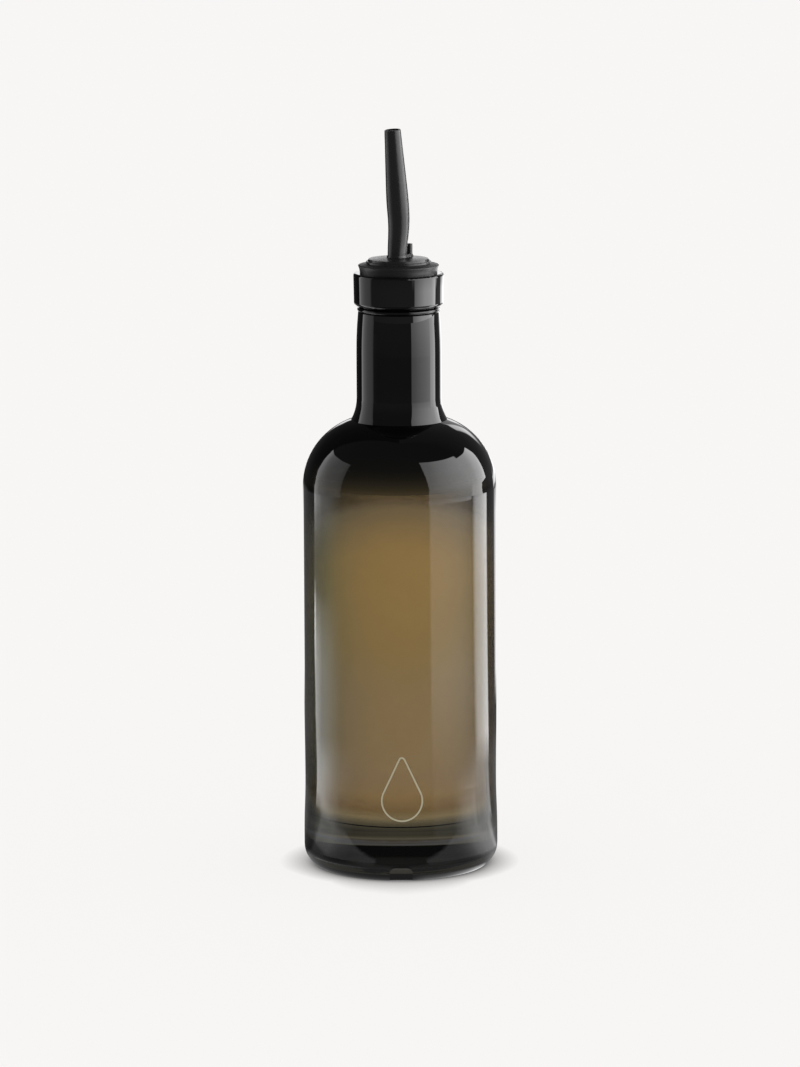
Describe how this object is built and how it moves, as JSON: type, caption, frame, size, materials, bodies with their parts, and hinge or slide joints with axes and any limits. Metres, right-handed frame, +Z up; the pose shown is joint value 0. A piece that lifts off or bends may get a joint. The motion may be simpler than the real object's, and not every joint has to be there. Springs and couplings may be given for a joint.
{
  "type": "oil bottle",
  "caption": "Tall round glass bottle of oil with a thick base, a ringed neck and a bent pouring spout held in a flanged rubber stopper.",
  "frame": {"origin": "centre of the circle that the bottle stands on, on the standing surface", "axes": "+Z up along the bottle's axis, -Y towards the notch in the heel, spout leaning towards -X and -Y"},
  "size_m": [0.0732, 0.0732, 0.2787],
  "materials": {
    "smoked_glass": "polished smoke-grey glass, black at the neck and shoulder and fading to see-through below",
    "oil": "clear liquid, brownish amber",
    "stopper_rubber": "matt black moulded rubber",
    "spout_coating": "satin black coated metal"
  },
  "bodies": {
    "root": {"bottle": "smoked_glass", "oil": "oil", "stopper": "stopper_rubber", "spout": "spout_coating"}
  },
  "joints": []
}
